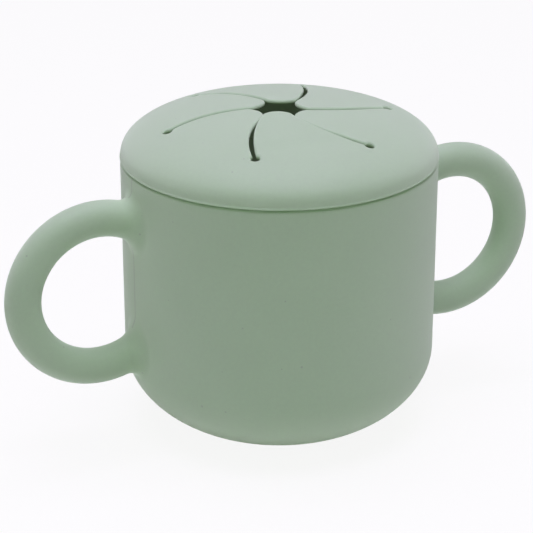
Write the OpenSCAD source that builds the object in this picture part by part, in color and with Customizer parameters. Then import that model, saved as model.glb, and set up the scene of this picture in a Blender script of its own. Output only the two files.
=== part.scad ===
/* [Cup] */
// Radius of the cup's outside at the rim
cup_r = 40; // [38:0.5:44]
// Height of the cup's rim above the surface it stands on
cup_h = 71.3; // [68:0.1:76]
// Thickness of the cup's side wall
cup_wall = 2.8; // [2.2:0.1:3.2]
// Thickness of the cup's floor
cup_floor = 3; // [2.5:0.1:4]
// How far the rounded base corner reaches up the wall
corner_h = 21.7; // [18:0.1:24]
// Radius at the corner's deepest point, where its curve runs level
corner_in_r = 8.3; // [6:0.1:12]
// How much of the corner's shallow end is taken by the flat base
base_sink = 1.2; // [1:0.1:1.6]
// Rounding of the rim's outer edge and of the lid's lower edge
lip_round = 0.5; // [0.3:0.05:0.6]

/* [Handles] */
// Distance from the cup's axis to a handle ring's centre
handle_x = 49.6; // [49:0.1:51]
// Height of the handle rings' centres
handle_z = 42.5; // [41:0.1:43]
// Radius of a handle ring's centreline
handle_ring_r = 19.6; // [19:0.1:20]
// Half thickness of the handle's tube in the plane of the ring
tube_a = 4.6; // [4.2:0.1:4.8]
// Half thickness of the handle's tube across the ring
tube_b = 4.1; // [3.8:0.1:4.4]
// Radius of the fillets between handle and wall
root_fillet = 3.6; // [3:0.1:3.8]

/* [Lid] */
// How far the lid's edge stands out past the cup
lid_overhang = 0.1; // [0:0.05:0.2]
// Height of the lid's rounded shoulder above the rim
lid_shoulder = 7.2; // [6.8:0.1:7.6]
// Height that the shallow crown adds in the middle
lid_crown = 5; // [4.6:0.1:5.4]
// Thickness of the crown where it meets the plug skirt
lid_t = 1.6; // [1.4:0.1:1.8]
// Thickness that the crown and the flaps thin to towards the lid's middle
centre_t = 0.8; // [0.8:0.1:1.6]
// How far the plug skirt reaches down into the cup
plug_h = 7.5; // [6.5:0.1:8.5]
// Thickness of the plug skirt
plug_t = 2.3; // [2:0.1:2.6]
// Gap between the plug skirt and the cup's wall
plug_gap = 0.7; // [0.6:0.05:0.9]
// How far the sealing beads stand out from the skirt
bead_h = 0.45; // [0.3:0.05:0.5]

/* [Flaps] */
// Radius of the circle on which the slits' relief holes lie
relief_pitch_r = 29; // [28:0.1:29.5]
// Radius of a relief hole
relief_r = 1.1; // [1:0.05:1.2]
// Direction of the first relief hole, counted from a handle
relief_turn = -7; // [-20:1:20]
// Radius at which the slits open into the star-shaped hole
star_r = 7.8; // [6.8:0.1:8]
// Angle that a slit winds through on its way out
slit_wind = 20; // [16:0.5:22]
// Radius of the slit's own curve
slit_curve_r = 34.3; // [32:0.1:40]
// Width of a slit at its relief hole
slit_w_out = 0.6; // [0.5:0.05:0.8]
// Width of a slit at the star-shaped hole
slit_w_in = 0.4; // [0.35:0.05:0.5]
// Angle by which the lifted flap stands up where it has taken a set
flap_set = 3.4; // [0:0.1:4]
// How far a flap's rounded tip bulges into the star-shaped hole
tip_bulge = 1.6; // [1.1:0.05:1.8]
// Radius of a flap's rounded root, about its bending line
root_r = 1.2; // [1.15:0.05:1.25]
// Clearance round a flap's root
root_gap = 0.15; // [0.12:0.01:0.2]

/* [Hidden] */
$fn = 120;
past = 5;
sage = "#8fa38f";
sage_flap = "#9db09d";

flaps = 6;
flap_step = 360 / flaps;

// Corner of the base: a quarter ellipse, cut level by the flat base.
corner_out_a = cup_r - corner_in_r;
corner_top = corner_h - base_sink;
corner_start = asin(1 - base_sink / corner_h);
cavity_r = cup_r - cup_wall;
cavity_a = cavity_r - corner_in_r;
cavity_b = corner_top - cup_floor;
corner_steps = 18;
cavity_steps = 14;

// Lid: a superellipse shoulder with a shallow parabolic crown on it, so that its edge runs upright.
lid_r = cup_r + lid_overhang;
lid_rise = lid_shoulder + lid_crown;
shoulder_n = 6.6;
shoulder_m = 2.5;
shoulder_steps = 20;
plug_r = cavity_r - plug_gap;
plug_in_r = plug_r - plug_t;
inner_fillet = 5;
inner_fillet_turn = 75;
bead_at = [-2.4, -5.2];
bead_half = 0.8;

// Flap geometry, for a flap whose first relief hole lies on +X.
apothem = relief_pitch_r * cos(flap_step / 2);
half_chord = relief_pitch_r * sin(flap_step / 2);
hole_a = polar(relief_pitch_r, 0);
hole_b = polar(relief_pitch_r, flap_step);
cusp_a = polar(star_r, -slit_wind);
cusp_b = polar(star_r, flap_step - slit_wind);
star_apothem = star_r * cos(flap_step / 2);
star_half = star_r * sin(flap_step / 2);
tip_r = (star_half * star_half + tip_bulge * tip_bulge) / (2 * tip_bulge);
tip_c = polar(star_apothem - tip_bulge + tip_r, flap_step / 2 - slit_wind);
axis_drop = 0.2;
axis_z = cup_h + lid_z(apothem) - sheet_t(apothem) / 2 - axis_drop;
// How each flap stands at rest: one is lifted and the next one sags a little.
flap_lift = [0, 0, 0, 0, flap_set, -flap_set / 4];

// Handle tube
tube_sides = 28;
fillet_steps = 6;
foot_slope = acos((handle_x - cup_r) / handle_ring_r);
foot_a = tube_a / sin(foot_slope);

function polar(r, a) = [r * cos(a), r * sin(a)];
function arc(c, r, from, to, n) =
    [for (i = [0:n]) c + polar(r, from + (to - from) * i / n)];
// Height of the lid's top above the rim at radius r.
function lid_z(r) =
    lid_shoulder * pow(max(0, 1 - pow(r / lid_r, shoulder_n)), 1 / shoulder_m)
    + lid_crown * (1 - pow(r / lid_r, 2));
// Thickness of the crown and of the flaps at radius r: even thinning from the skirt inwards.
function sheet_t(r) = centre_t + (lid_t - centre_t) * r / plug_in_r;
// Radius of the cup's outside at height z.
function wall_r(z) =
    z >= corner_top ? cup_r
    : corner_in_r + corner_out_a * sqrt(1 - pow((corner_top - z) / corner_h, 2));
// Centre of the circle of radius r through p and q that lies left of the way from p to q.
function left_centre(p, q, r) =
    let (d = q - p, n = norm(d), side = [-d.y, d.x] / n)
    (p + q) / 2 + side * sqrt(r * r - n * n / 4);
// A slit wall's centre: the slit's line moved sideways by half its width, to the left where side is 1.
function slit_centre(cusp, hole, side) =
    let (d = hole - cusp, n = [-d.y, d.x] / norm(d))
    left_centre(cusp + n * side * slit_w_in / 2, hole + n * side * slit_w_out / 2, slit_curve_r);

// ---------- cup ----------

module cup_outer() {
    rotate_extrude()
        polygon(concat(
            [[0, 0]],
            [for (i = [0:corner_steps])
                let (t = corner_start * (1 - i / corner_steps))
                [corner_in_r + corner_out_a * cos(t), corner_top - corner_h * sin(t)]],
            arc([cup_r - lip_round, cup_h - lip_round], lip_round, 0, 90, 4),
            [[0, cup_h]]
        ));
}

module cup_cavity() {
    lip = lip_round - 0.1;
    rotate_extrude()
        polygon(concat(
            [[0, cup_floor], [corner_in_r, cup_floor]],
            [for (i = [1:cavity_steps])
                let (t = 90 * (1 - i / cavity_steps))
                [corner_in_r + cavity_a * cos(t), corner_top - cavity_b * sin(t)]],
            arc([cavity_r + lip, cup_h - lip], lip, 180, 90, 4),
            [[cavity_r + lip, cup_h + past], [0, cup_h + past]]
        ));
}

module handle_ring() {
    translate([handle_x, 0, handle_z])
        rotate([90, 0, 0])
            rotate_extrude()
                polygon([for (i = [0:tube_sides - 1])
                    let (p = 360 * (i + 0.5) / tube_sides)
                    [handle_ring_r + tube_a * cos(p), tube_b * sin(p)]]);
}

// A point of the fillet between tube and wall, counted from the ring's centre height: p goes round the
// tube, d is the distance from the wall, g the fillet's reach along it, and up is 1 or -1 for the ring's end.
function root_point(p, d, g, up) =
    let (
        reach = handle_ring_r + tube_a * cos(p),
        y = tube_b * sin(p),
        first_z = reach * sin(acos((handle_x - cup_r - d) / reach)),
        wall = wall_r(handle_z + up * first_z) + d,
        x = sqrt(wall * wall - y * y),
        m = [foot_a * sin(p), tube_b * cos(p)] / norm([foot_a * sin(p), tube_b * cos(p)]),
        z = reach * sin(acos((handle_x - x) / reach)) + g * m.y,
        turn = atan2(y, x) + g * m.x / wall * 180 / PI,
        last = wall_r(handle_z + up * z) + d
    )
    [last * cos(turn), last * sin(turn), z];

// The fillet where one end of a handle meets the wall, as a loft of rings round the tube.
module root_collar(up) {
    // Both ends dip a little into what they meet, so that the loft crosses tube and wall at a clear angle.
    dip = 0.12;
    sunk = 0.8;
    rows = concat(
        [[root_fillet + 1.2, -3 * dip]],
        [for (i = [0:fillet_steps])
            let (t = 90 * i / fillet_steps)
            [(root_fillet + dip) * (1 - sin(t)) - dip, root_fillet * (1 - cos(t)) - dip]],
        [[-sunk, root_fillet]]
    );
    n = len(rows);
    points = concat(
        [for (row = rows) for (i = [0:tube_sides - 1])
            root_point(360 * (i + 0.5) / tube_sides, row[0], row[1], up)],
        [root_middle(rows[0][0]), root_middle(-sunk)]
    );
    faces = concat(
        [for (j = [0:n - 2]) for (i = [0:tube_sides - 1])
            let (a = j * tube_sides + i, b = j * tube_sides + (i + 1) % tube_sides)
            [a, b + tube_sides, b]],
        [for (j = [0:n - 2]) for (i = [0:tube_sides - 1])
            let (a = j * tube_sides + i, b = j * tube_sides + (i + 1) % tube_sides)
            [a, a + tube_sides, b + tube_sides]],
        [for (i = [0:tube_sides - 1]) [n * tube_sides, i, (i + 1) % tube_sides]],
        [for (i = [0:tube_sides - 1])
            let (a = (n - 1) * tube_sides)
            [n * tube_sides + 1, a + (i + 1) % tube_sides, a + i]]
    );
    translate([0, 0, handle_z])
        mirror([0, 0, up < 0 ? 1 : 0])
            polyhedron(points, faces);
}

function root_middle(d) =
    [cup_r + d, 0, sqrt(pow(handle_ring_r, 2) - pow(handle_x - cup_r - d, 2))];

module handle() {
    handle_ring();
    for (up = [1, -1]) root_collar(up);
}

module cup() {
    color(sage)
        difference() {
            union() {
                cup_outer();
                handle();
                mirror([1, 0, 0]) handle();
            }
            cup_cavity();
        }
}

// ---------- lid ----------

// The lid's section without its opening: top, lower edge, seat on the rim, and plug skirt with its beads.
module lid_section() {
    foot = 0.9;
    crown_in_r = 22;
    crown_to_r = 28;
    first = asin(pow(crown_to_r / lid_r, shoulder_n / 2));
    fillet_r = plug_in_r - inner_fillet + inner_fillet * cos(inner_fillet_turn);
    fillet_z = lid_z(fillet_r) - sheet_t(fillet_r) - inner_fillet * sin(inner_fillet_turn);
    polygon(concat(
        [for (r = [crown_in_r:2:crown_to_r]) [r, lid_z(r)]],
        [for (i = [1:shoulder_steps])
            let (
                t = first + (90 - first) * i / (shoulder_steps + 0.4),
                r = lid_r * pow(sin(t), 2 / shoulder_n)
            )
            [r, lid_z(r)]],
        arc([lid_r - lip_round, lip_round], lip_round, 0, -90, 4),
        [[plug_r + lip_round, 0]],
        arc([plug_r + lip_round, -lip_round], lip_round, 90, 180, 4),
        [for (z = bead_at) for (i = [0:6])
            let (a = 90 - 30 * i)
            [plug_r + bead_h * cos(a), z + bead_half * sin(a)]],
        arc([plug_r - foot, foot - plug_h], foot, 0, -90, 4),
        arc([plug_in_r + foot, foot - plug_h], foot, -90, -180, 4),
        arc([plug_in_r - inner_fillet, fillet_z], inner_fillet, 0, inner_fillet_turn, 7),
        [for (r = [crown_to_r:-2:crown_in_r]) [r, lid_z(r) - sheet_t(r)]]
    ));
}

// The outline, across the bending line, of what a flap keeps at its root, and of the room round it.
module root_outline(grow) {
    circle(r = root_r + grow, $fn = 48);
}

// Puts a thing drawn across the bending line (x outward, y up) along the flap's root.
module along_root(half) {
    rotate([0, 0, flap_step / 2])
        translate([apothem, 0, axis_z])
            rotate([90, 0, 0])
                translate([0, 0, -half])
                    linear_extrude(2 * half)
                        children();
}

module relief_holes(list) {
    for (p = list)
        translate([p.x, p.y, cup_h])
            cylinder(r = relief_r, h = lid_rise + past, $fn = 36);
}

module lid_ring() {
    reach = root_r + root_gap;
    color(sage)
        difference() {
            translate([0, 0, cup_h])
                rotate_extrude()
                    lid_section();
            translate([0, 0, cup_h + past])
                linear_extrude(lid_rise)
                    polygon([for (i = [0:flaps - 1]) polar(relief_pitch_r, relief_turn + flap_step * i)]);
            for (i = [0:flaps - 1])
                rotate([0, 0, relief_turn + flap_step * i]) {
                    relief_holes([hole_a]);
                    along_root(half_chord - 0.3) {
                        root_outline(root_gap);
                        translate([-reach, -2 * reach]) square([2 * reach, 2 * reach]);
                    }
                }
        }
}

// ---------- flaps ----------

// Seen from above: root, the two curved slit walls and the rounded tip.
module flap_plan() {
    out = polar(2 * root_r, flap_step / 2);
    inward = (hole_b - hole_a) / norm(hole_b - hole_a) * 0.8;
    way = hole_a - cusp_a;
    right = [way.y, -way.x] / norm(way);
    intersection() {
        difference() {
            union() {
                polygon([
                    hole_a, hole_a + out + inward, hole_b + out - inward, hole_b, cusp_b, cusp_a,
                    (hole_a + cusp_a) / 2 + 4 * right
                ]);
                translate(tip_c) circle(r = tip_r);
            }
            translate(slit_centre(cusp_b, hole_b, -1)) circle(r = slit_curve_r);
        }
        translate(slit_centre(cusp_a, hole_a, 1)) circle(r = slit_curve_r);
    }
}

// A flap whose first relief hole lies on +X, lying flush with the crown.
module flap_flush() {
    deep = 12;
    difference() {
        intersection() {
            translate([0, 0, cup_h])
                rotate_extrude()
                    polygon(concat(
                        [for (r = [2:2:30]) [r, lid_z(r)]],
                        [for (r = [30:-2:2]) [r, lid_z(r) - sheet_t(r)]]
                    ));
            translate([0, 0, cup_h])
                linear_extrude(lid_rise + past)
                    flap_plan();
            along_root(relief_pitch_r) {
                root_outline(0);
                translate([-relief_pitch_r, -deep / 2]) square([relief_pitch_r, deep]);
            }
        }
        relief_holes([hole_a, hole_b]);
    }
}

module flap(i) {
    root = [apothem * cos(flap_step / 2), apothem * sin(flap_step / 2), axis_z];
    color(sage_flap)
        rotate([0, 0, relief_turn + flap_step * i])
            translate(root)
                rotate(flap_lift[i], [-sin(flap_step / 2), cos(flap_step / 2), 0])
                    translate(-root)
                        flap_flush();
}

cup();
lid_ring();
flap(0);  // flap_1
flap(1);  // flap_2
flap(2);  // flap_3
flap(3);  // flap_4
flap(4);  // flap_5
flap(5);  // flap_6
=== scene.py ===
"""A toddler's silicone snack cup: a round cup with two ring handles and a lid with six bending flaps.

Every shape is worked out in metres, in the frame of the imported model, with +Z up and the handles along X.
"""

import math

import bpy
import numpy as np
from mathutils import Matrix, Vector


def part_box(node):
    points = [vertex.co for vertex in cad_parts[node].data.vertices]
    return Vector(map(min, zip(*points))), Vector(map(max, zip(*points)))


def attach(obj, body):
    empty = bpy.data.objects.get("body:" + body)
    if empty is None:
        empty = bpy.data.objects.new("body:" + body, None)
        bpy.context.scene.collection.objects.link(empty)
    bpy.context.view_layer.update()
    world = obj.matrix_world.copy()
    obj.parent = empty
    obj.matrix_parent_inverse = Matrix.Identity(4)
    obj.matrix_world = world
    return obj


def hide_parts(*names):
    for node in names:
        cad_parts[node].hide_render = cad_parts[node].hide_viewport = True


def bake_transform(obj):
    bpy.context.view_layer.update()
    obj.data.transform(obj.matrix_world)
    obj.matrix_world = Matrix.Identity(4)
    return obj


bl_info = {
    "name": "Silicone snack cup",
    "version": (1, 0, 0),
    "blender": (4, 5, 0),
    "location": "3D View > Sidebar > Snack cup",
    "description": "Builds a silicone snack cup with ring handles and a lid with bending flaps",
    "category": "Add Mesh",
}

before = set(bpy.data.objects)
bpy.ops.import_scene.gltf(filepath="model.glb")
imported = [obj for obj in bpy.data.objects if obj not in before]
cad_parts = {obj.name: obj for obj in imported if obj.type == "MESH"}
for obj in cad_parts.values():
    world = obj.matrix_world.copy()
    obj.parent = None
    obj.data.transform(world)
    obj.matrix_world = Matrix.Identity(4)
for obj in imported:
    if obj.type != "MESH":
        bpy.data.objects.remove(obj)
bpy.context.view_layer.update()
CUP_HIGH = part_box("cup")[1]
RING_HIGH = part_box("lid_ring")[1]

MM = 0.001
FLAPS = 6
FLAP_STEP = math.tau / FLAPS


# ---------------------------------------------------------------------------
# Settings
# ---------------------------------------------------------------------------

def length(label, default, description):
    """A length in metres, with its name, default and description."""
    return bpy.props.FloatProperty(
        name=label, default=default, description=description, unit="LENGTH", precision=5)


def angle(label, degrees, description):
    """An angle that is given in degrees and held in radians."""
    return bpy.props.FloatProperty(
        name=label, default=math.radians(degrees), description=description, subtype="ANGLE")


def number(label, default, description, low=0.0, high=100.0):
    """A plain number between two limits."""
    return bpy.props.FloatProperty(
        name=label, default=default, description=description, min=low, max=high)


def colour(label, hex_value, description):
    """A colour written as an sRGB hex value."""
    return bpy.props.StringProperty(name=label, default=hex_value, description=description)


class CupSizes(bpy.types.PropertyGroup):
    """Sizes of the cup's wall, corner and base."""
    radius: length("Radius", CUP_HIGH.y, "Outside radius of the wall")
    rim: length("Rim height", CUP_HIGH.z, "Height of the rim above the base")
    wall: length("Wall", 2.8 * MM, "Thickness of the side wall")
    floor: length("Floor", 3 * MM, "Thickness of the floor")
    corner_height: length("Corner height", 21.7 * MM, "How far the base corner reaches up the wall")
    corner_inner: length("Corner inner radius", 8.3 * MM, "Where the corner's curve runs level")
    base_sink: length("Base cut", 1.2 * MM, "How much the flat base takes off the corner")
    lip: length("Rim rounding", 0.9 * MM, "Rounding of the rim's edges")
    taper: length("Rim taper", 0.06 * MM, "How far the outside draws in below the rim's rounding")
    taper_height: length("Rim taper height", 1.2 * MM, "Height over which it draws in")


class HandleSizes(bpy.types.PropertyGroup):
    """Sizes of the two ring handles."""
    centre: length("Ring centre", 49.6 * MM, "Distance from the cup's axis to a ring's centre")
    height: length("Ring height", 42.5 * MM, "Height of a ring's centre")
    ring: length("Ring radius", 19.6 * MM, "Radius of a ring's centreline")
    tube_wide: length("Tube, in plane", 4.57 * MM, "Half thickness of the tube in the ring's plane")
    tube_deep: length("Tube, across", 4.1 * MM, "Half thickness of the tube across the ring")
    fillet: length("Root fillet", 3.6 * MM, "Radius of the fillets where a ring meets the wall")


class LidSizes(bpy.types.PropertyGroup):
    """Sizes of the lid's crown, edge and plug skirt."""
    radius: length("Radius", RING_HIGH.x, "Outside radius of the lid")
    shoulder: length("Shoulder", 7.2 * MM, "Height of the rounded shoulder above the rim")
    crown: length("Crown", 5 * MM, "Height that the crown adds in the middle")
    roundness: number("Shoulder roundness", 6.6, "Power of the superellipse across the lid")
    upright: number("Edge roundness", 2.5, "Power of the superellipse up the edge")
    sheet: length("Thickness", 1.6 * MM, "Thickness of the crown where it meets the plug skirt")
    sheet_middle: length("Middle thickness", 0.8 * MM, "Thickness that the crown thins to on its axis")
    plug_depth: length("Plug depth", 7.5 * MM, "How far the plug skirt reaches into the cup")
    plug_wall: length("Plug wall", 2.3 * MM, "Thickness of the plug skirt")
    plug_gap: length("Plug gap", 0.7 * MM, "Gap between the skirt and the cup's wall")
    plug_foot: length("Plug foot", 0.9 * MM, "Rounding of the skirt's lower edges")
    plug_root: length("Plug root", 0.5 * MM, "Rounding where the skirt meets the lid's lower face")
    bead: length("Bead", 0.45 * MM, "How far a sealing bead stands out")
    bead_half: length("Bead half height", 0.8 * MM, "Half the height of a sealing bead")
    upper_bead: length("Upper bead", 2.4 * MM, "Depth of the upper bead below the rim")
    lower_bead: length("Lower bead", 5.2 * MM, "Depth of the lower bead below the rim")
    join: length("Join radius", 31 * MM, "Radius at which the ring piece meets the flap pieces")
    edge: length("Edge rounding", 0.28 * MM, "Rounding of the lid's lower edge")
    edge_gap: length("Edge gap", 0.2 * MM, "Height of the lid's lower edge above the rim")
    seat: length("Seat", 2.2 * MM, "How far in from the lid's edge it rests on the rim")
    groove: length("Groove", 0.13 * MM, "Depth of the shallow groove above the lid's lower edge")
    groove_start: length("Groove start", 0.45 * MM, "Height above the rim at which the groove starts")
    groove_deepest: length("Groove deepest", 0.85 * MM, "Height above the rim at which it is deepest")
    groove_end: length("Groove end", 4.5 * MM, "Height above the rim at which it has run out")


class SlitSizes(bpy.types.PropertyGroup):
    """Sizes of the slits, the relief holes and the star-shaped hole."""
    pitch: length("Relief hole circle", 29 * MM, "Radius of the circle that the relief holes lie on")
    relief: length("Relief hole", 1.1 * MM, "Radius of a relief hole")
    turn: angle("First relief hole", -7, "Direction of the first relief hole")
    star: length("Star radius", 8.4 * MM, "Radius at which the slits open into the star-shaped hole")
    wind: angle("Winding", 20, "Angle that a slit winds through on its way out")
    curve: length("Slit curve", 34.3 * MM, "Radius of a slit's own curve")
    bulge: length("Tip bulge", 2.1 * MM, "How far a flap's tip bulges into the star-shaped hole")
    gap: length("Slit gap", 0.5 * MM, "Width of a closed slit half way along")
    open_gap: length("Open slit gap", 1.05 * MM, "Width of an open slit half way along")
    lip: length("Slit lip", 0.65 * MM, "Rounding of the slits' upper edges")
    edge_flat: length("Edge flat", 0.12 * MM, "Upright part of the flaps' rounded edges")
    lift: angle("Lifted flap", 3.4, "How far the lifted flap stands up at rest")
    bend_outside: length("Bend outside", 0.8 * MM, "How far outside its root line a flap starts to bend")
    bend_inside: length("Bend inside", 6 * MM, "How far inside its root line a flap has bent")
    root_sink: length("Root line depth", 0.2 * MM, "Depth of the root line below the sheet's middle")


class FinishSettings(bpy.types.PropertyGroup):
    """Colours and finish of the silicone."""
    silicone: colour("Silicone", "#97B88F", "Sage green of the pigmented silicone")
    speck: colour("Speck", "#6E806D", "Lint and pigment specks on the surface")
    roughness: number("Roughness", 0.56, "Roughness of the matte moulded surface", 0.0, 1.0)
    ior: number("IOR", 1.43, "Index of refraction of silicone rubber", 1.0, 2.0)
    bloom: number("Bloom", 0.75, "Dusty bloom on the soft-touch skin", 0.0, 1.0)
    bloom_tint: colour("Bloom tint", "#ECFFE4", "Colour of the bloom")
    bloom_spread: number("Bloom spread", 0.9, "How evenly the bloom shows from all angles", 0.0, 1.0)
    grain: length("Mould grain", 0.35 * MM, "Grain of the spark-eroded mould")
    grain_depth: length("Grain depth", 0.05 * MM, "Height of that grain")
    clouding: length("Clouding", 14 * MM, "Width of the slight clouds in the pigment")
    mottling: length("Mottling", 0.9 * MM, "Width of the faint mottling of the skin")
    speck_spacing: length("Speck spacing", 4 * MM, "Width of the cells that may hold a speck each")
    parting: length("Parting line", 0.5 * MM, "Half width of the line where the mould's halves met")
    depth: number("Translucency", 0.5, "Share of the light that scatters below the surface", 0.0, 1.0)
    depth_scale: length("Scatter depth", 0.5 * MM, "How far that light spreads")


class StageSettings(bpy.types.PropertyGroup):
    """Camera, floor and lights."""
    camera_x: length("Camera X", -205.8 * MM, "Camera position across")
    camera_y: length("Camera Y", -426.7 * MM, "Camera position in front")
    camera_z: length("Camera Z", 240.5 * MM, "Camera height")
    camera_tilt: angle("Camera tilt", 22.88, "How far the camera looks down")
    camera_turn: angle("Camera turn", 25.36, "How far the camera looks to the right of +Y")
    lens: number("Lens", 134.84, "Focal length in millimetres on a 36 mm sensor", 10, 500)
    floor_half: length("Floor", 6.0, "Half the width of the floor")
    floor_drop: length("Floor drop", 0.05 * MM, "How far the floor lies below the base, clear of it")
    aim: length("Aim", 45 * MM, "Height on the cup's axis that the soft boxes face")


# Each soft box: its name, its place in metres right of, beyond and above the cup as the camera sees it, its
# width and height in metres, its power in watts and the colour of its light.
SOFT_BOXES = (
    ("overhead_soft_box", (0, 0, 1.0), (0.8, 0.8), 11.8, (0.84, 0.705, 1.0)),
    ("front_soft_box", (0, -1.0, 0.6), (1.0, 0.8), 2.15, (0.78, 1.0, 0.60)),
    ("left_soft_box", (-1.1, 0.2, 0.4), (0.8, 0.8), 0.8, (1.0, 0.85, 1.0)),
    ("right_soft_box", (1.1, 0.2, 0.4), (0.8, 0.8), 0.35, (1, 1, 1)),
)

# How far each flap stands up at rest, as a share of the lifted flap's angle.
LIFT_SHARES = (0.12, 0.25, 0.12, 0, 1, 0)


# ---------------------------------------------------------------------------
# Mesh helpers
# ---------------------------------------------------------------------------

def linear_colour(hex_value):
    """sRGB hex to linear light: (c + 0.055) / 1.055 to the power 2.4, or c / 12.92 where c is small."""
    channels = np.array([int(hex_value[i:i + 2], 16) for i in (1, 3, 5)]) / 255
    linear = np.where(channels <= 0.04045, channels / 12.92, ((channels + 0.055) / 1.055) ** 2.4)
    return (*linear.tolist(), 1.0)


def grid_quads(rows, columns, rows_close=False, columns_close=False):
    """Quads between neighbouring points of a grid held row by row, closed round either way if asked."""
    i, j = np.meshgrid(
        np.arange(rows if rows_close else rows - 1),
        np.arange(columns if columns_close else columns - 1),
        indexing="ij")
    below, beside = (i + 1) % rows, (j + 1) % columns
    corners = [i * columns + j, i * columns + beside, below * columns + beside, below * columns + j]
    return np.stack(corners, -1).reshape(-1, 4)


def fan(centre, ring):
    """Triangles from one point to a closed ring of points."""
    return np.stack([np.full(len(ring), centre), ring, np.roll(ring, -1)], -1)


def volume(points, quads, triangles):
    """Signed volume of a closed mesh: a sixth of the sum of a . (b x c) over its triangles."""
    faces = np.concatenate([quads[:, [0, 1, 2]], quads[:, [0, 2, 3]], triangles])
    a, b, c = (points[faces[:, k]] for k in range(3))
    return float((a * np.cross(b, c)).sum() / 6)


def put_piece(name, points, quads, triangles=(), crease=50):
    """Makes one smooth mesh object of closed surfaces, with its faces turned outwards and the edges whose
    faces meet at more than crease degrees kept sharp."""
    quads = np.asarray(quads, int).reshape(-1, 4)
    triangles = np.asarray(triangles, int).reshape(-1, 3)
    if volume(points, quads, triangles) < 0:
        quads, triangles = quads[:, ::-1], triangles[:, ::-1]
    mesh = bpy.data.meshes.new(name)
    mesh.from_pydata(points.tolist(), [], quads.tolist() + triangles.tolist())
    mesh.shade_smooth()
    mesh.set_sharp_from_angle(angle=math.radians(crease))
    piece = bpy.data.objects.new(name, mesh)
    bpy.context.scene.collection.objects.link(piece)
    return piece


def revolve(profile, turn):
    """Turns a profile of (radius, height) about the Z axis through the given angles: x = r cos a and
    y = r sin a. A profile that starts and ends on the axis is closed there by one point at each end, and
    any other is a closed loop."""
    turns = len(turn)
    on_axis = profile[0, 0] < 1e-9
    body = profile[1:-1] if on_axis else profile
    r, z = body[:, :1], body[:, 1:]
    points = np.stack([r * np.cos(turn), r * np.sin(turn), z + 0 * turn], -1).reshape(-1, 3)
    if not on_axis:
        return points, grid_quads(len(body), turns, True, True), np.zeros((0, 3), int)
    poles = np.array([[0, 0, profile[0, 1]], [0, 0, profile[-1, 1]]])
    count, ring = len(points), np.arange(turns)
    triangles = np.concatenate([fan(count, ring[::-1]), fan(count + 1, count - turns + ring)])
    return np.concatenate([points, poles]), grid_quads(len(body), turns, False, True), triangles


def arc(centre, radius, start, end, steps):
    """Points on a circle from one direction to another, in degrees."""
    a = np.radians(np.linspace(start, end, steps + 1))
    return np.stack([centre[0] + radius * np.cos(a), centre[1] + radius * np.sin(a)], -1)


def line(start, end, steps):
    """Evenly spaced points between two points, both left out."""
    t = np.linspace(0, 1, steps + 2)[1:-1, None]
    return np.array(start) * (1 - t) + np.array(end) * t


def smooth(share):
    """Smoothstep of a share that is held between 0 and 1: s^2 (3 - 2 s)."""
    s = np.clip(share, 0, 1)
    return s * s * (3 - 2 * s)


def rounding(distance, radius):
    """How far a rounded edge lies below the flat: radius - sqrt(radius^2 - (radius - distance)^2)."""
    inset = np.clip(radius - distance, 0, radius)
    return radius - np.sqrt(radius ** 2 - inset ** 2)


# ---------------------------------------------------------------------------
# Cup
# ---------------------------------------------------------------------------

def wall_radius(cup, z):
    """Radius of the cup's outside at a height: straight above the corner, a quarter ellipse in it."""
    top = cup.corner_height - cup.base_sink
    depth = np.clip((top - z) / cup.corner_height, 0, 1)
    return cup.corner_inner + (cup.radius - cup.corner_inner) * np.sqrt(1 - depth ** 2)


def cup_profile(cup):
    """Half section from the base's middle, up the outside, over the rim and down to the floor's middle.
    The corner is a quarter ellipse that the flat base cuts off level, and the cavity's corner is another
    one inside it. Below the rim's rounding the outside draws in by the taper times the square of the way
    up it, and the rounding starts at that slope."""
    top = cup.corner_height - cup.base_sink
    start = math.asin(1 - cup.base_sink / cup.corner_height)
    t = np.linspace(start, 0, 49)
    outside = np.stack([
        cup.corner_inner + (cup.radius - cup.corner_inner) * np.cos(t),
        top - cup.corner_height * np.sin(t)], -1)
    outside[0, 1] = 0
    inner = cup.radius - cup.wall
    t = np.linspace(0, math.pi / 2, 37)
    inside = np.stack([
        cup.corner_inner + (inner - cup.corner_inner) * np.cos(t),
        top - (top - cup.floor) * np.sin(t)], -1)
    lip = cup.lip
    lean = math.atan(2 * cup.taper / cup.taper_height)
    taper_top = cup.rim - lip * (1 - math.sin(lean))
    t = np.linspace(0, 1, 9)[1:-1]
    taper = np.stack([cup.radius - cup.taper * t ** 2, taper_top - cup.taper_height * (1 - t)], -1)
    return np.concatenate([
        [[0, 0]],
        line((0, 0), outside[0], 6),
        outside,
        line(outside[-1], (cup.radius, taper_top - cup.taper_height), 14),
        [[cup.radius, taper_top - cup.taper_height]],
        taper,
        arc((cup.radius - cup.taper - lip * math.cos(lean), cup.rim - lip), lip, math.degrees(lean), 90, 8),
        arc((inner + lip, cup.rim - lip), lip, 90, 180, 8),
        line((inner, cup.rim - lip), inside[0], 14),
        inside,
        line(inside[-1], (0, cup.floor), 3),
        [[0, cup.floor]],
    ])


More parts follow.
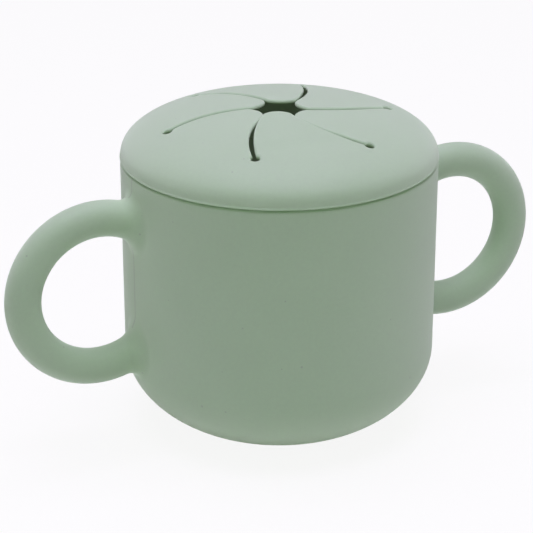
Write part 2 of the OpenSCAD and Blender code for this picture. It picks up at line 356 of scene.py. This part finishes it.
def handle_points(cup, handle):
    """Grid of points of the right-hand ring handle, from inside the wall round the ring and back into it.
    The ring is a tube of elliptical section about a circle. Near the wall each point slides along the wall
    by f (1 - cos t) where it is f (1 - sin t) away from it, which is a fillet of radius f. Inside the wall
    it slides a little further, so that the fillet's foot is hidden."""
    sides = np.arange(72) * math.tau / 72
    reach = handle.ring + handle.tube_wide * np.cos(sides)
    y = handle.tube_deep * np.sin(sides)
    lean = math.acos((handle.centre - cup.radius) / handle.ring)
    foot = handle.tube_wide / math.sin(lean)
    away = np.stack([foot * np.sin(sides), handle.tube_deep * np.cos(sides)])
    away /= np.linalg.norm(away, axis=0)
    # Three rows inside the wall, and then seventeen round the fillet.
    t = np.linspace(math.pi / 2, 0, 17)
    distance = np.append([-0.9 * MM, -0.2 * MM, -0.02 * MM], handle.fillet * (1 - np.sin(t)))[:, None]
    slide = handle.fillet * np.append([1.15, 1.12, 1.06], 1 - np.cos(t))[:, None]

    def root(up):
        """One end of the ring, the upper (up = 1) or the lower (up = -1), and where the ring goes on from
        it along X. The wall's radius depends on the height, so a few rounds settle both."""
        z = up * 0.9 * handle.ring + np.zeros((len(distance), len(sides)))
        for _ in range(6):
            wall = wall_radius(cup, handle.height + z) + distance
            x = np.sqrt(wall ** 2 - y ** 2)
            z = up * reach * np.sin(np.arccos(np.clip((handle.centre - x) / reach, -1, 1)))
        turn = np.arctan2(y, x) + slide * away[0] / wall
        z = z + up * slide * away[1]
        wall = wall_radius(cup, handle.height + z) + distance
        return np.stack([wall * np.cos(turn), wall * np.sin(turn), handle.height + z], -1), x[-1]

    upper, upper_x = root(1)
    lower, lower_x = root(-1)
    first = np.arccos((handle.centre - upper_x) / reach)
    last = math.tau - np.arccos((handle.centre - lower_x) / reach)
    share = np.linspace(0, 1, 121)[1:-1, None]
    a = first + (last - first) * share
    ring = np.stack([
        handle.centre - reach * np.cos(a), y + 0 * a, handle.height + reach * np.sin(a)], -1)
    return np.concatenate([upper, ring, lower[::-1]])


def handle_mesh(cup, handle, side):
    """The handle's grid closed by a fan at each end, inside the wall, and mirrored for the left."""
    grid = handle_points(cup, handle)
    rows, columns = grid.shape[:2]
    ends = np.array([grid[0].mean(0), grid[-1].mean(0)])
    points = np.concatenate([grid.reshape(-1, 3), ends]) * (side, 1, 1)
    ring = np.arange(columns)
    count = rows * columns
    triangles = np.concatenate([fan(count, ring[::-1]), fan(count + 1, count - columns + ring)])
    return points, grid_quads(rows, columns, False, True), triangles


# ---------------------------------------------------------------------------
# Lid
# ---------------------------------------------------------------------------

# The ring and each flap start from the join with a row of faces this narrow, so that both have the lid's
# own slope there and no seam shows.
JOIN_STEP = 0.05 * MM

# A distance, in metres, past any edge of the lid.
FAR = 1.0


def lid_top(cup, lid, r):
    """Height of the lid's top at radius r: a superellipse shoulder under a parabolic crown."""
    share = np.clip(r / lid.radius, 0, 1)
    shoulder = lid.shoulder * (1 - share ** lid.roundness) ** (1 / lid.upright)
    return cup.rim + shoulder + lid.crown * (1 - share ** 2)


def sheet_under(cup, lid, r):
    """Height of the underside at radius r: the sheet thins evenly from the plug skirt to the axis."""
    skirt = cup.radius - cup.wall - lid.plug_gap - lid.plug_wall
    return lid_top(cup, lid, r) - lid.sheet_middle - (lid.sheet - lid.sheet_middle) * r / skirt


def groove_depth(lid, up):
    """Depth of the groove at a height above the rim: it grows smoothly from its start to where it is
    deepest, and runs out smoothly at its end."""
    grown = smooth((up - lid.groove_start) / (lid.groove_deepest - lid.groove_start))
    left = smooth((lid.groove_end - up) / (lid.groove_end - lid.groove_deepest))
    return lid.groove * grown * left


def ring_profile(cup, lid):
    """Closed section of the lid outside the flaps: top, lower edge, seat, beaded plug skirt and underside.
    The top's points are packed towards the edge. The underside leaves the skirt in a fillet that ends in
    line with the sheet's slope at the join."""
    near = lid.join + JOIN_STEP
    start = math.asin((near / lid.radius) ** (lid.roundness / 2))
    t = np.append(np.linspace(start, math.radians(84), 64), np.radians(np.linspace(84.2, 89.9, 24)))
    r = np.append(lid.join, lid.radius * np.sin(t) ** (2 / lid.roundness))
    z = lid_top(cup, lid, r)
    edge, edge_z = lid.edge, cup.rim + lid.edge_gap + lid.edge
    top = np.stack([r - groove_depth(lid, z - cup.rim), z], -1)[z > edge_z]
    plug = cup.radius - cup.wall - lid.plug_gap
    inner = plug - lid.plug_wall
    foot, root, foot_z = lid.plug_foot, lid.plug_root, cup.rim - lid.plug_depth + lid.plug_foot
    under = sheet_under(cup, lid, np.array([lid.join, near]))
    turn = math.pi / 2 - math.atan2(under[0] - under[1], near - lid.join)
    fillet = (inner - near) / (1 - math.cos(turn))
    fillet_z = under[1] - fillet * math.sin(turn)
    a = np.radians(np.linspace(90, -90, 17))
    beads = [
        np.stack([plug + lid.bead * np.cos(a), cup.rim - depth + lid.bead_half * np.sin(a)], -1)
        for depth in (lid.upper_bead, lid.lower_bead)]
    return np.concatenate([
        top,
        arc((lid.radius - edge, edge_z), edge, 0, -90, 8),
        line((lid.radius - edge, edge_z - edge), (lid.radius - lid.seat, cup.rim), 3),
        line((lid.radius - lid.seat, cup.rim), (plug + root, cup.rim), 1),
        arc((plug + root, cup.rim - root), root, 90, 180, 8),
        *beads,
        arc((plug - foot, foot_z), foot, 0, -90, 8),
        arc((inner + foot, foot_z), foot, -90, -180, 8),
        line((inner, foot_z), (inner, fillet_z), 6),
        arc((inner - fillet, fillet_z), fillet, 0, math.degrees(turn), 24),
        [[lid.join, under[0]]],
    ])


class Slits:
    """The slit pattern about the lid's axis, for a flap whose first relief hole lies in direction 0.
    A slit's line is an arc from its cusp, on the star's circle, to the relief hole's centre. A flap's tip
    is an arc between two cusps that bulges into the star-shaped hole."""

    def __init__(self, slits):
        self.pitch, self.relief, self.star, self.curve = slits.pitch, slits.relief, slits.star, slits.curve
        self.lip_steps = slits.lip * (1 - np.cos(np.radians(np.linspace(0, 90, 7))))
        cusp = slits.star * np.array([math.cos(slits.wind), -math.sin(slits.wind)])
        hole = np.array([slits.pitch, 0.0])
        chord = hole - cusp
        left = np.array([-chord[1], chord[0]]) / np.linalg.norm(chord)
        centre = (cusp + hole) / 2 + left * math.sqrt(slits.curve ** 2 - (chord @ chord) / 4)
        self.centre_r, self.centre_a = np.linalg.norm(centre), math.atan2(centre[1], centre[0])
        half = slits.star * math.sin(FLAP_STEP / 2)
        self.tip_r = (half ** 2 + slits.bulge ** 2) / (2 * slits.bulge)
        self.tip_centre = slits.star * math.cos(FLAP_STEP / 2) - slits.bulge + self.tip_r
        self.tip_a = FLAP_STEP / 2 - slits.wind
        # The tip's arc ends here, measured outwards from its centre: a little past its two cusps.
        self.tip_end = -0.96 * math.sqrt(self.tip_r ** 2 - half ** 2)
        self.apothem = slits.pitch * math.cos(FLAP_STEP / 2)

    def line_angle(self, r):
        """Direction of the slit's line at radius r, where its circle crosses the circle of radius r."""
        cosine = (r ** 2 + self.centre_r ** 2 - self.curve ** 2) / (2 * r * self.centre_r)
        return self.centre_a - np.arccos(np.clip(cosine, -1, 1))

    def along(self, r):
        """Length across the slit per radian at radius r: r times the cosine of the slit's lean."""
        step = 0.01 * MM
        lean = np.arctan(r * (self.line_angle(r + step) - self.line_angle(r - step)) / (2 * step))
        return r * np.cos(lean)

    def hole_angle(self, r):
        """Half angle of the relief hole at radius r, from the law of cosines."""
        inside = np.abs(r - self.pitch) < self.relief
        cosine = (r ** 2 + self.pitch ** 2 - self.relief ** 2) / (2 * r * self.pitch)
        return np.where(inside, np.arccos(np.clip(cosine, -1, 1)), 0)

    def directions(self, r, first_gap, second_gap):
        """Directions of a flap's columns at the radii r, which holds one radius for each row, or one for
        each row and column. An edge follows the slit, stands back by its half gap, goes round the relief
        hole and then runs straight out. The columns lie at the lip's steps in from each edge, and evenly
        spaced in between."""
        hole = self.hole_angle(r)
        inside = np.abs(r - self.pitch) < self.relief
        a, width = self.line_angle(r), self.along(r)
        low, high = a + first_gap(r) / width, a - second_gap(r) / width
        low = np.where(inside, np.maximum(low, hole), low)
        high = np.where(inside, np.minimum(high, -hole), high)
        low = np.where(r < self.pitch, low, hole)
        high = np.where(r < self.pitch, high, -hole) + FLAP_STEP
        width = np.where(r < self.pitch, width, r)
        steps = self.lip_steps
        share = np.concatenate([0 * steps, np.linspace(0, 1, 41)[1:-1], 1 + 0 * steps])
        rest = np.full(len(share) - len(steps), steps[-1])
        from_low = low + np.append(steps, rest) / width
        from_high = high - np.append(rest, steps[::-1]) / width
        return from_low + (from_high - from_low) * share

    def tip(self, a):
        """Radius of the flap's rounded tip in direction a, where a ray first meets the tip circle. A ray
        that misses the circle gets the radius where one just meets it."""
        off = np.clip(np.abs(a - self.tip_a), 0, math.asin(self.tip_r / self.tip_centre) - 1e-6)
        side = self.tip_centre * np.sin(off)
        return self.tip_centre * np.cos(off) - np.sqrt(self.tip_r ** 2 - side ** 2)

    def tip_distance(self, r, a):
        """Distance in from the rounded tip, which is the near part of the tip circle, and FAR elsewhere."""
        x = r * np.cos(a - self.tip_a) - self.tip_centre
        y = r * np.sin(a - self.tip_a)
        return np.where(x < self.tip_end, self.tip_r - np.hypot(x, y), FAR)

    def edge_distance(self, r, a, first_gap, second_gap):
        """Distance from a point of the flap to its nearest free edge: a slit, a relief hole or the tip."""
        line_a, width = self.line_angle(r), self.along(r)
        beyond = r >= self.pitch
        first = np.where(beyond, FAR, (a - line_a) * width - first_gap(r))
        second = np.where(beyond, FAR, (FLAP_STEP + line_a - a) * width - second_gap(r))
        holes = [
            np.sqrt(r ** 2 + self.pitch ** 2 - 2 * r * self.pitch * np.cos(a - at)) - self.relief
            for at in (0, FLAP_STEP)]
        return np.clip(np.minimum.reduce([first, second, *holes, self.tip_distance(r, a)]), 0, None)


def no_gap(r):
    """A half gap of nothing, at any radius."""
    return 0 * r


def slit_gap(slits, at_star, half_way, at_hole):
    """Half width of a slit as a function of the radius: a parabola through its widths at the star, half way
    along and at the relief hole."""
    def half(r):
        t = np.clip((r - slits.star) / (slits.pitch - slits.star), 0, 1)
        width = at_star * (1 - t) * (1 - 2 * t) + half_way * 4 * t * (1 - t) + at_hole * t * (2 * t - 1)
        return width / 2
    return half


def slit_gaps(slits):
    """Half widths of the six slits, from the first relief hole on. The second and the fifth stand open, and
    the others are closed, each a little differently, as cut silicone settles."""
    gap, wide = slits.gap, slits.open_gap
    return [
        slit_gap(slits, 1.3 * gap, 1.3 * gap, 0.9 * gap),
        slit_gap(slits, 0.5 * gap, wide, 0.7 * gap),
        slit_gap(slits, gap, 1.1 * gap, 0.7 * gap),
        slit_gap(slits, 0.8 * gap, 1.2 * gap, 1.3 * gap),
        slit_gap(slits, 0.5 * gap, wide, 0.8 * wide),
        slit_gap(slits, 1.1 * gap, 1.5 * gap, 1.3 * gap)]


def flap_grid(lid, slits, first_gap, second_gap):
    """Plan grid of a flap in polar form (radius, direction), with rows packed at the relief holes and at
    the edges. Rows run from the join with the ring to the tip, and columns from one slit to the next. The
    last rows follow the tip's arc at the lip's steps. A column meets that arc where its direction and its
    radius agree, which is found by taking the mean of the two again and again."""
    shape = Slits(slits)
    round_hole = slits.pitch + slits.relief * np.sin(np.radians(np.linspace(90, -90, 19)))
    above_hole = slits.pitch + slits.relief + shape.lip_steps[:0:-1]
    # The rows run round the axis down to this radius, and from there they close in on the tip's arc.
    tip_from = 10 * MM
    r = np.concatenate([
        [lid.join, lid.join - JOIN_STEP], above_hole, round_hole,
        np.linspace(round_hole[-1], tip_from, 62)[1:]])[:, None]
    a = shape.directions(r, first_gap, second_gap)
    tip_r = np.full((1, a.shape[1]), slits.star)
    for _ in range(60):
        tip_r = (tip_r + shape.tip(shape.directions(tip_r, first_gap, second_gap))) / 2
    closing = np.linspace(0, 1, 13)[1:-1, None]
    tip_rows = np.concatenate([
        tip_from + (tip_r + shape.lip_steps[-1] - tip_from) * closing,
        tip_r + shape.lip_steps[::-1, None]])
    tip_a = shape.directions(tip_rows, first_gap, second_gap)
    return shape, np.concatenate([r + 0 * a, tip_rows]), np.concatenate([a, tip_a])


def bend(points, share, angle_up, root):
    """Turns points about the root line by their share of an angle, towards +Z at the tip.
    root is the root line's distance from the axis, along +X here, and its height."""
    c, s = np.cos(share * angle_up), np.sin(share * angle_up)
    x, z = points[..., 0] - root[0], points[..., 2] - root[1]
    return np.stack([root[0] + x * c + z * s, points[..., 1], root[1] - x * s + z * c], -1)


def turned(points, a):
    """Points turned about the Z axis by an angle."""
    c, s = math.cos(a), math.sin(a)
    return points @ np.array([[c, s, 0], [-s, c, 0], [0, 0, 1]])


def bend_zone(slits, shape):
    """Distances from the axis between which a flap's root bends."""
    return shape.apothem + slits.bend_outside, shape.apothem - slits.bend_inside


def root_height(cup, lid, slits, shape):
    """Height of the line that a flap bends about, a little below the middle of the sheet."""
    middle = (lid_top(cup, lid, shape.apothem) + sheet_under(cup, lid, shape.apothem)) / 2
    return middle - slits.root_sink


def flap_mesh(cup, lid, slits, index, gaps):
    """A flap with its share of the lid round its root. Its top follows the lid and drops at every free edge
    by the lip's rounding, its underside lies one thickness below, and a wall joins the two round the
    outline. It stands up by its share of the lifted flap's angle, bent smoothly across its root."""
    first_gap, second_gap = gaps[index], gaps[(index + 1) % FLAPS]
    shape, r, a = flap_grid(lid, slits, first_gap, second_gap)
    distance = shape.edge_distance(r, a, first_gap, second_gap)
    height, below = lid_top(cup, lid, r), sheet_under(cup, lid, r)
    x, y = r * np.cos(a), r * np.sin(a)
    top = np.stack([x, y, height - rounding(distance, slits.lip)], -1)
    under_lip = np.clip(height - below - slits.lip - slits.edge_flat, 0.1 * MM, slits.lip)
    under = np.stack([x, y, below + rounding(distance, under_lip)], -1)
    points = turned(np.stack([top, under]), -FLAP_STEP / 2)
    start, end = bend_zone(slits, shape)
    share = smooth((start - points[..., 0]) / (start - end))
    root = (shape.apothem, root_height(cup, lid, slits, shape))
    points = bend(points, share, slits.lift * LIFT_SHARES[index], root)
    points = turned(points, FLAP_STEP / 2 + slits.turn + FLAP_STEP * index)
    rows, columns = r.shape
    index_at = np.arange(rows * columns).reshape(rows, columns)
    outline = np.concatenate([
        index_at[:-1, 0], index_at[-1, :-1], index_at[:0:-1, -1], index_at[0, :0:-1]])
    # A point of the underside has the index of the one above it plus down.
    after, down = np.roll(outline, -1), rows * columns
    wall = np.stack([after, outline, outline + down, after + down], -1)
    faces = grid_quads(rows, columns)
    return points.reshape(-1, 3), np.concatenate([faces[:, ::-1], faces + down, wall])


# ---------------------------------------------------------------------------
# Materials
# ---------------------------------------------------------------------------

def add_node(tree, kind, settings=None, inputs=None, links=None):
    """Adds one node, sets its properties and socket values, and links sockets by name or number."""
    node = tree.nodes.new(kind)
    for key, value in (settings or {}).items():
        setattr(node, key, value)
    for key, value in (inputs or {}).items():
        node.inputs[key].default_value = value
    for key, (source, output) in (links or {}).items():
        tree.links.new(source.outputs[output], node.inputs[key])
    return node


def moulded_silicone(name, finish, parting_wall=None):
    """Pigmented liquid silicone rubber, injection moulded in a spark-eroded mould.
    The eye sees an even matte skin with a soft wide sheen, a faint fine grain, very slight clouding of the
    pigment, a few lint specks, and on the cup's wall a hairline ridge where the mould's halves met, along
    which the colour is darkened as painted shade of that ridge. The light goes a little way in, so that
    edges and hollows look soft. parting_wall is the wall's radius, for the piece that has that hairline."""
    material = bpy.data.materials.new(name)
    material.use_nodes = True
    tree = material.node_tree
    tree.nodes.clear()
    place = add_node(tree, "ShaderNodeTexCoord")
    base, speck = linear_colour(finish.silicone), linear_colour(finish.speck)

    # Tone: clouds of 1.5% and mottling of 2.5% either way, and 35% darker along the parting line, which is
    # painted shade of its hairline ridge.
    cloud = add_node(
        tree, "ShaderNodeTexNoise", None,
        {"Scale": 1 / finish.clouding, "Detail": 2.0, "Roughness": 0.5}, {"Vector": (place, "Object")})
    mottle = add_node(
        tree, "ShaderNodeTexNoise", None,
        {"Scale": 1 / finish.mottling, "Detail": 3.0, "Roughness": 0.6}, {"Vector": (place, "Object")})
    clouds = add_node(
        tree, "ShaderNodeMapRange", None,
        {"From Min": 0.3, "From Max": 0.7, "To Min": 0.985, "To Max": 1.015}, {"Value": (cloud, "Fac")})
    mottling = add_node(
        tree, "ShaderNodeMapRange", None,
        {"From Min": 0.3, "From Max": 0.7, "To Min": 0.975, "To Max": 1.025}, {"Value": (mottle, "Fac")})
    tone = add_node(
        tree, "ShaderNodeMath", {"operation": "MULTIPLY"}, None, {0: (clouds, 0), 1: (mottling, 0)})
    if parting_wall:
        ridge = parting_ridge(tree, place, finish, parting_wall)
        # Painted shade: the colour is 35% darker along the parting line's ridge.
        ridge_painted_shade = add_node(
            tree, "ShaderNodeMath", {"operation": "MULTIPLY_ADD"}, {1: -0.35, 2: 1.0}, {0: (ridge, 0)})
        tone = add_node(
            tree, "ShaderNodeMath", {"operation": "MULTIPLY"}, None, {0: (tone, 0), 1: (ridge_painted_shade, 0)})
    shade = add_node(
        tree, "ShaderNodeVectorMath", {"operation": "SCALE"}, {0: base[:3]}, {"Scale": (tone, 0)})

    # Specks: half of the cells hold a dot each, up to 8% of a cell in radius, at 55% of the speck's colour.
    cells = add_node(
        tree, "ShaderNodeTexVoronoi", None,
        {"Scale": 1 / finish.speck_spacing}, {"Vector": (place, "Object")})
    chance = add_node(tree, "ShaderNodeSeparateColor", None, None, {"Color": (cells, "Color")})
    size = add_node(
        tree, "ShaderNodeMapRange", None,
        {"From Min": 0.5, "From Max": 1.0, "To Min": 0.0, "To Max": 0.08}, {"Value": (chance, "Red")})
    dot = add_node(
        tree, "ShaderNodeMath", {"operation": "LESS_THAN"}, None, {0: (cells, "Distance"), 1: (size, 0)})
    faint = add_node(
        tree, "ShaderNodeMath", {"operation": "MULTIPLY"}, {1: 0.55}, {0: (dot, 0)})
    skin = add_node(
        tree, "ShaderNodeMix", {"data_type": "RGBA"}, {7: speck}, {0: (faint, 0), 6: (shade, 0)})

    # Roughness follows the mottling, 0.03 either way.
    rough = add_node(
        tree, "ShaderNodeMapRange", None,
        {"From Min": 0.3, "From Max": 0.7,
         "To Min": finish.roughness - 0.03, "To Max": finish.roughness + 0.03}, {"Value": (mottle, "Fac")})

    # Relief: the mould's grain, with the parting line standing up to four times as high.
    relief = add_node(
        tree, "ShaderNodeTexNoise", None,
        {"Scale": 1 / finish.grain, "Detail": 1.0, "Roughness": 0.5}, {"Vector": (place, "Object")})
    if parting_wall:
        relief = add_node(
            tree, "ShaderNodeMath", {"operation": "MULTIPLY_ADD"}, {1: 4.0},
            {0: (ridge, 0), 2: (relief, "Fac")})
    bump = add_node(
        tree, "ShaderNodeBump", None,
        {"Strength": 0.12, "Distance": finish.grain_depth}, {"Height": (relief, 0)})

    # Below the skin green light goes the furthest, as the pigment soaks up red and blue.
    shader = add_node(
        tree, "ShaderNodeBsdfPrincipled", None,
        {"IOR": finish.ior, "Sheen Weight": finish.bloom, "Sheen Roughness": finish.bloom_spread,
         "Sheen Tint": linear_colour(finish.bloom_tint),
         "Subsurface Weight": finish.depth, "Subsurface Radius": (0.8, 1.0, 0.75),
         "Subsurface Scale": finish.depth_scale},
        {"Base Color": (skin, 2), "Roughness": (rough, 0), "Normal": (bump, 0)})
    add_node(tree, "ShaderNodeOutputMaterial", None, None, {"Surface": (shader, 0)})
    return material


def parting_ridge(tree, place, finish, wall):
    """1 along the mould's parting line, a hairline ridge on the plane Y = 0, and 0 off it. It raises that
    ridge's bump and darkens its colour as painted shade. wall is the wall's outside radius: the line shows
    only within
    1 mm of it, so not on the handles or the inside."""
    axes = add_node(tree, "ShaderNodeSeparateXYZ", None, None, {"Vector": (place, "Object")})
    off = add_node(tree, "ShaderNodeMath", {"operation": "ABSOLUTE"}, None, {0: (axes, "Y")})
    ridge = add_node(
        tree, "ShaderNodeMapRange", {"interpolation_type": "SMOOTHSTEP"},
        {"From Min": 0.0, "From Max": finish.parting, "To Min": 1.0, "To Max": 0.0}, {"Value": (off, 0)})
    across = add_node(tree, "ShaderNodeMath", {"operation": "ABSOLUTE"}, None, {0: (axes, "X")})
    on_wall = add_node(
        tree, "ShaderNodeMath", {"operation": "COMPARE"}, {1: wall, 2: 1 * MM}, {0: (across, 0)})
    return add_node(
        tree, "ShaderNodeMath", {"operation": "MULTIPLY"}, None, {0: (ridge, 0), 1: (on_wall, 0)})


def camera_ray_share(tree):
    """1 for camera, glossy and transmission rays, and 0 for the rays that light the object."""
    path = add_node(tree, "ShaderNodeLightPath")
    seen = add_node(
        tree, "ShaderNodeMath", {"operation": "MAXIMUM"}, None,
        {0: (path, "Is Camera Ray"), 1: (path, "Is Glossy Ray")})
    return add_node(
        tree, "ShaderNodeMath", {"operation": "MAXIMUM"}, None,
        {0: (seen, 0), 1: (path, "Is Transmission Ray")})


def painted_floor():
    """Matte white painted board. The camera sees nine tenths plain white and one tenth lit paint, so it
    looks white and keeps a soft shadow."""
    material = bpy.data.materials.new("white_painted_board")
    material.use_nodes = True
    tree = material.node_tree
    tree.nodes.clear()
    seen = camera_ray_share(tree)
    lifted = add_node(tree, "ShaderNodeMath", {"operation": "MULTIPLY"}, {1: 0.9}, {0: (seen, 0)})
    paint = add_node(
        tree, "ShaderNodeBsdfPrincipled", None,
        {"Base Color": linear_colour("#F2F2F0"), "Roughness": 0.8, "IOR": 1.45})
    white = add_node(tree, "ShaderNodeEmission", None, {"Color": (1, 1, 1, 1), "Strength": 1.0})
    mix = add_node(tree, "ShaderNodeMixShader", None, None, {0: (lifted, 0), 1: (paint, 0), 2: (white, 0)})
    add_node(tree, "ShaderNodeOutputMaterial", None, None, {"Surface": (mix, 0)})
    return material


def white_surroundings():
    """Plain white surroundings that the camera sees behind the cup, and that give no light of their own."""
    world = bpy.data.worlds.new("white_tent")
    world.use_nodes = True
    tree = world.node_tree
    tree.nodes.clear()
    seen = camera_ray_share(tree)
    light = add_node(
        tree, "ShaderNodeBackground", None, {"Color": (1, 1, 1, 1)}, {"Strength": (seen, 0)})
    add_node(tree, "ShaderNodeOutputWorld", None, None, {"Surface": (light, 0)})
    return world


# ---------------------------------------------------------------------------
# Stage
# ---------------------------------------------------------------------------

def put_lamp(name, kind, power, tint, place):
    """Adds one lamp of a kind, with its power in watts and its colour, and returns it and its light."""
    light = bpy.data.lights.new(name, kind)
    light.energy = power
    light.color = tint
    lamp = bpy.data.objects.new(name, light)
    lamp.location = place
    bpy.context.scene.collection.objects.link(lamp)
    return lamp, light


def soft_box(stage, name, place, size, power, tint):
    """A rectangular area light that faces the cup. place is right of, beyond and above the cup, as the
    camera sees it, and is turned with the camera about the Z axis."""
    c, s = math.cos(stage.camera_turn), math.sin(stage.camera_turn)
    right, beyond, up = place
    spot = np.array([right * c + beyond * s, beyond * c - right * s, up])
    way = np.array([0, 0, stage.aim]) - spot
    lamp, light = put_lamp(name, "AREA", power, tint, spot)
    light.shape = "RECTANGLE"
    light.size, light.size_y = size
    lamp.rotation_euler = (
        math.atan2(math.hypot(way[0], way[1]), -way[2]), 0, math.atan2(way[1], way[0]) - math.pi / 2)


def light_through_walls():
    """A faint lamp inside the cup, for the daylight that the milky walls let through to the inside. Its
    light bounces between green walls many times over, so it starts with less green."""
    lamp, light = put_lamp("light_through_walls", "POINT", 0.0037, (1.0, 0.7, 1.0), (0, 0, 40 * MM))
    light.shadow_soft_size = 15 * MM
    lamp.visible_camera = lamp.visible_glossy = False


# ---------------------------------------------------------------------------
# Operators
# ---------------------------------------------------------------------------

class SNACKCUP_OT_cup(bpy.types.Operator):
    """Builds the cup's wall, base and inside"""
    bl_idname = "snackcup.cup"
    bl_label = "Cup"

    def execute(self, context):
        scene = context.scene
        finish = moulded_silicone("moulded_silicone_cup", scene.snack_finish, scene.snack_cup.radius)
        turn = np.arange(320) * math.tau / 320
        body = put_piece("cup_body", *revolve(cup_profile(scene.snack_cup), turn))
        body.data.materials.append(finish)
        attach(body, "cup")
        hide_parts("cup")
        return {"FINISHED"}


class SNACKCUP_OT_handles(bpy.types.Operator):
    """Builds the two ring handles with their root fillets"""
    bl_idname = "snackcup.handles"
    bl_label = "Ring handles"

    def execute(self, context):
        scene = context.scene
        for name, side in (("handle_right", 1), ("handle_left", -1)):
            points, quads, triangles = handle_mesh(scene.snack_cup, scene.snack_handle, side)
            handle = put_piece(name, points, quads, triangles)
            handle.data.materials.append(bpy.data.materials["moulded_silicone_cup"])
            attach(handle, "cup")
            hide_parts("cup")
        return {"FINISHED"}


class SNACKCUP_OT_lid(bpy.types.Operator):
    """Builds the lid's shoulder, edge and plug skirt"""
    bl_idname = "snackcup.lid"
    bl_label = "Lid ring"

    def execute(self, context):
        scene = context.scene
        finish = moulded_silicone("moulded_silicone_lid", scene.snack_finish)
        join = np.array([[scene.snack_lid.join]])
        leaf = Slits(scene.snack_slits).directions(join, no_gap, no_gap)[0, :-1]
        turn = (scene.snack_slits.turn + FLAP_STEP * np.arange(FLAPS)[:, None] + leaf).ravel()
        ring = put_piece("lid_shoulder", *revolve(ring_profile(scene.snack_cup, scene.snack_lid), turn))
        ring.data.materials.append(finish)
        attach(ring, "lid")
        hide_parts("lid_ring")
        return {"FINISHED"}


class SNACKCUP_OT_flaps(bpy.types.Operator):
    """Builds the six flaps, which bend smoothly at their roots"""
    bl_idname = "snackcup.flaps"
    bl_label = "Flaps"

    def execute(self, context):
        scene = context.scene
        cup, lid, slits = scene.snack_cup, scene.snack_lid, scene.snack_slits
        gaps, shape = slit_gaps(slits), Slits(slits)
        for index in range(FLAPS):
            name = f"flap_{index + 1}"
            points, quads = flap_mesh(cup, lid, slits, index, gaps)
            flap = put_piece(f"flap_leaf_{index + 1}", points, quads)
            flap.data.materials.append(bpy.data.materials["moulded_silicone_lid"])
            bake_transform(flap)
            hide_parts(name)
        return {"FINISHED"}


class SNACKCUP_OT_stage(bpy.types.Operator):
    """Sets up the camera, the floor and the lights"""
    bl_idname = "snackcup.stage"
    bl_label = "Stage"

    def execute(self, context):
        scene = context.scene
        stage = scene.snack_stage
        eye = bpy.data.cameras.new("camera")
        eye.sensor_width = 36
        eye.lens = stage.lens
        eye.clip_start, eye.clip_end = 0.01, 20
        camera = bpy.data.objects.new("camera", eye)
        camera.location = (stage.camera_x, stage.camera_y, stage.camera_z)
        camera.rotation_euler = (math.pi / 2 - stage.camera_tilt, 0, -stage.camera_turn)
        scene.collection.objects.link(camera)
        scene.camera = camera

        half, down = stage.floor_half, -stage.floor_drop
        corners = [(-half, -half, down), (half, -half, down), (half, half, down), (-half, half, down)]
        mesh = bpy.data.meshes.new("floor")
        mesh.from_pydata(corners, [], [(0, 1, 2, 3)])
        mesh.materials.append(painted_floor())
        floor = bpy.data.objects.new("floor", mesh)
        scene.collection.objects.link(floor)

        for name, place, size, power, tint in SOFT_BOXES:
            soft_box(stage, name, place, size, power, tint)
        light_through_walls()
        scene.world = white_surroundings()
        scene.view_settings.view_transform = "Standard"
        return {"FINISHED"}


class SNACKCUP_PT_panel(bpy.types.Panel):
    """Lists the pieces and their sizes"""
    bl_label = "Snack cup"
    bl_idname = "SNACKCUP_PT_panel"
    bl_space_type = "VIEW_3D"
    bl_region_type = "UI"
    bl_category = "Snack cup"

    def draw(self, context):
        for key, (_, operator) in SETTINGS.items():
            box = self.layout.box()
            settings = getattr(context.scene, key)
            for name in settings.__annotations__:
                box.prop(settings, name)
            if operator:
                box.operator(operator)


# Each group of settings, and the operator that the panel shows below it.
SETTINGS = {
    "snack_cup": (CupSizes, "snackcup.cup"),
    "snack_handle": (HandleSizes, "snackcup.handles"),
    "snack_lid": (LidSizes, "snackcup.lid"),
    "snack_slits": (SlitSizes, "snackcup.flaps"),
    "snack_finish": (FinishSettings, None),
    "snack_stage": (StageSettings, "snackcup.stage"),
}
CLASSES = (
    *(group for group, _ in SETTINGS.values()),
    SNACKCUP_OT_cup,
    SNACKCUP_OT_handles,
    SNACKCUP_OT_lid,
    SNACKCUP_OT_flaps,
    SNACKCUP_OT_stage,
    SNACKCUP_PT_panel,
)


def register():
    """Adds the classes and hangs each group of settings on the scene."""
    for item in CLASSES:
        bpy.utils.register_class(item)
    for key, (group, _) in SETTINGS.items():
        setattr(bpy.types.Scene, key, bpy.props.PointerProperty(type=group))


def unregister():
    """Takes the settings and classes away again."""
    for key in SETTINGS:
        delattr(bpy.types.Scene, key)
    for item in reversed(CLASSES):
        bpy.utils.unregister_class(item)


def main():
    """Builds the whole cup."""
    register()
    bpy.ops.snackcup.stage()
    bpy.ops.snackcup.cup()
    bpy.ops.snackcup.handles()
    bpy.ops.snackcup.lid()
    bpy.ops.snackcup.flaps()


if __name__ == "__main__":
    main()
